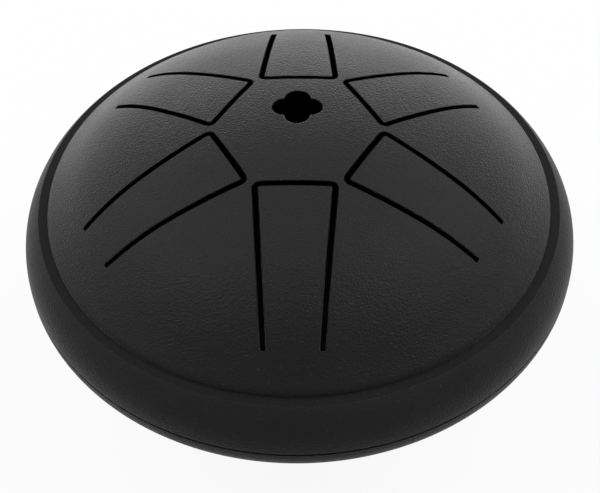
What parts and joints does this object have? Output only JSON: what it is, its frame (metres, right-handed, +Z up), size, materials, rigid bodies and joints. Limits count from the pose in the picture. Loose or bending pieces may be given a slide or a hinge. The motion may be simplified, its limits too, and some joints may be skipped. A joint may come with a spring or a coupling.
{
  "type": "steel tongue drum",
  "caption": "Small black steel tongue drum: a domed shell with slot-cut tongues of graded length and a lobed sound hole, welded to a bowl that stands on screwed rubber feet.",
  "frame": {"origin": "on the drum's axis, in the plane on which the feet stand", "axes": "+Z up along the drum's axis, -Y towards the player and the longest tongue, +X to the player's right"},
  "size_m": [0.14, 0.14, 0.08],
  "materials": {
    "black_steel": "satin powder coat",
    "foot_rubber": "matte",
    "zinc_steel": "zinc plated"
  },
  "bodies": {
    "drum_body": {"top_shell": "black_steel", "bottom_shell": "black_steel", "rim_weld": "black_steel", "foot_1": "foot_rubber", "foot_2": "foot_rubber", "foot_3": "foot_rubber", "foot_washer_1": "zinc_steel", "foot_washer_2": "zinc_steel", "foot_washer_3": "zinc_steel", "foot_screw_1": "zinc_steel", "foot_screw_2": "zinc_steel", "foot_screw_3": "zinc_steel", "foot_nut_1": "zinc_steel", "foot_nut_2": "zinc_steel", "foot_nut_3": "zinc_steel"},
    "tongue_front": {"tongue_front": "black_steel"},
    "tongue_front_right": {"tongue_front_right": "black_steel"},
    "tongue_rear_right": {"tongue_rear_right": "black_steel"},
    "tongue_rear": {"tongue_rear": "black_steel"},
    "tongue_rear_left": {"tongue_rear_left": "black_steel"},
    "tongue_front_left": {"tongue_front_left": "black_steel"}
  },
  "joints": [
    {"name": "tongue_front_flex", "type": "hinge", "parent": "drum_body", "child": "tongue_front", "pos_m": [0, -0.0547, 0.06448], "axis": [1, 0, 0], "range_deg": [-1, 1], "stiffness_Nm_per_rad": 1.5},
    {"name": "tongue_front_right_flex", "type": "hinge", "parent": "drum_body", "child": "tongue_front_right", "pos_m": [0.04425, -0.02555, 0.0671], "axis": [0.5, 0.866, 0], "range_deg": [-1, 1], "stiffness_Nm_per_rad": 1.5},
    {"name": "tongue_rear_right_flex", "type": "hinge", "parent": "drum_body", "child": "tongue_rear_right", "pos_m": [0.04153, 0.02397, 0.06904], "axis": [-0.5, 0.866, 0], "range_deg": [-1, 1], "stiffness_Nm_per_rad": 1.5},
    {"name": "tongue_rear_flex", "type": "hinge", "parent": "drum_body", "child": "tongue_rear", "pos_m": [0, 0.0451, 0.07056], "axis": [-1, 0, 0], "range_deg": [-1, 1], "stiffness_Nm_per_rad": 1.5},
    {"name": "tongue_rear_left_flex", "type": "hinge", "parent": "drum_body", "child": "tongue_rear_left", "pos_m": [-0.04304, 0.02485, 0.068], "axis": [-0.5, -0.866, 0], "range_deg": [-1, 1], "stiffness_Nm_per_rad": 1.5},
    {"name": "tongue_front_left_flex", "type": "hinge", "parent": "drum_body", "child": "tongue_front_left", "pos_m": [-0.04607, -0.0266, 0.06563], "axis": [0.5, -0.866, 0], "range_deg": [-1, 1], "stiffness_Nm_per_rad": 1.5}
  ]
}
